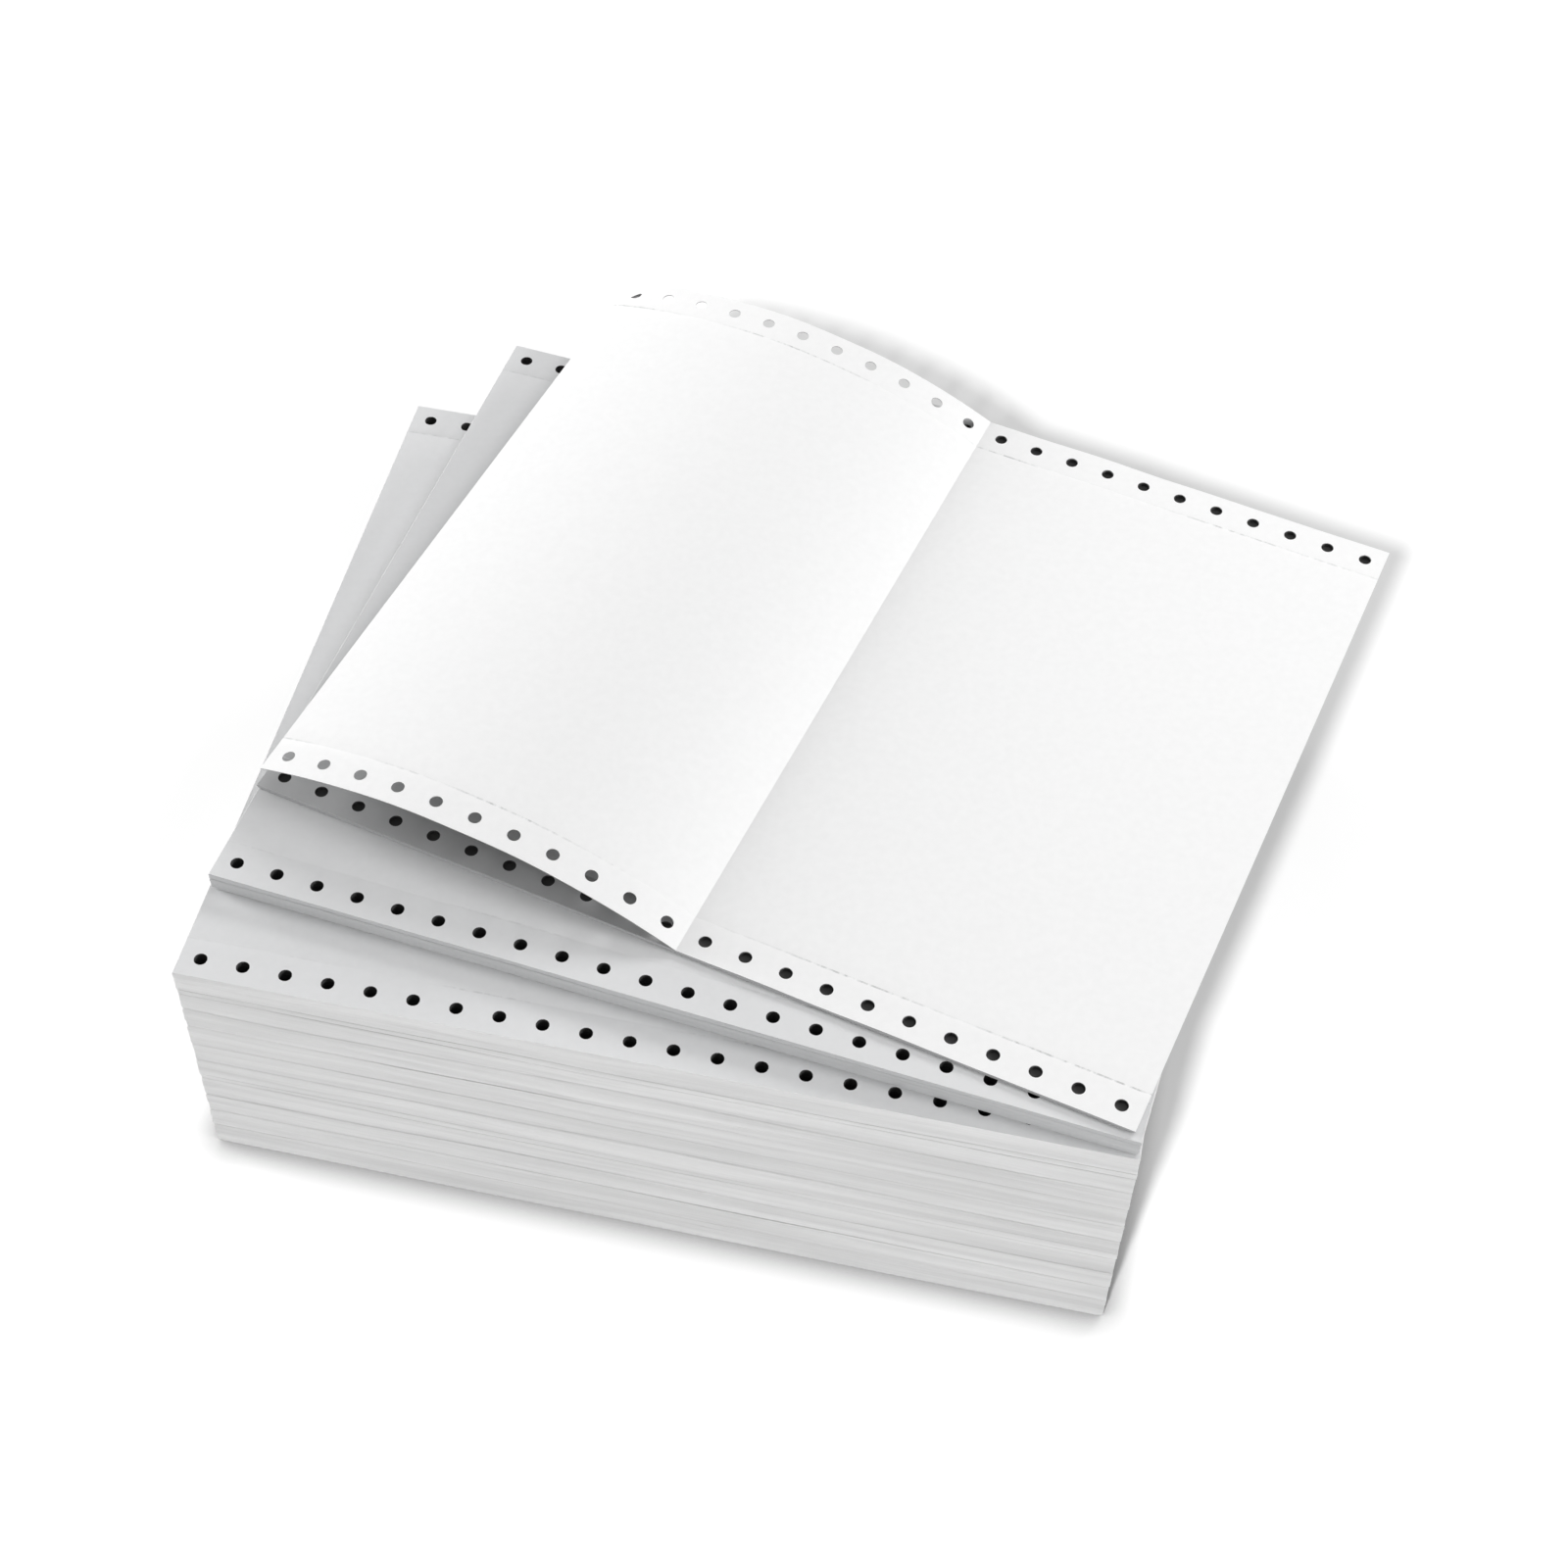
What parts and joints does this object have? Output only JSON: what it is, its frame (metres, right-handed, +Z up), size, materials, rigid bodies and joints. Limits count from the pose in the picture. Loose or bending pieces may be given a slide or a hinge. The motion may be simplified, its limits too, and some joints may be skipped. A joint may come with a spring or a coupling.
{
  "type": "stack of continuous form paper",
  "caption": "Tall pile of fanfold continuous form paper with sprocket holes along both long edges, a turned bundle and turned top forms on it, and an uppermost leaf that bulges from its crease.",
  "frame": {"origin": "middle of the main stack's underside, on the surface that it stands on", "axes": "+X from the left fold to the right fold, +Y from the front edge with its sprocket holes to the back edge, +Z up"},
  "size_m": [0.3298, 0.3005, 0.1182],
  "materials": {
    "stack_paper": "plain white form paper, matt, cut and folded edges lying in fine layers",
    "bundle_paper": "plain white form paper, matt",
    "top_paper": "plain white form paper, matt, faintly fibrous"
  },
  "bodies": {
    "root": {"main_stack": "stack_paper", "turned_bundle": "bundle_paper", "top_forms": "top_paper"}
  },
  "joints": []
}
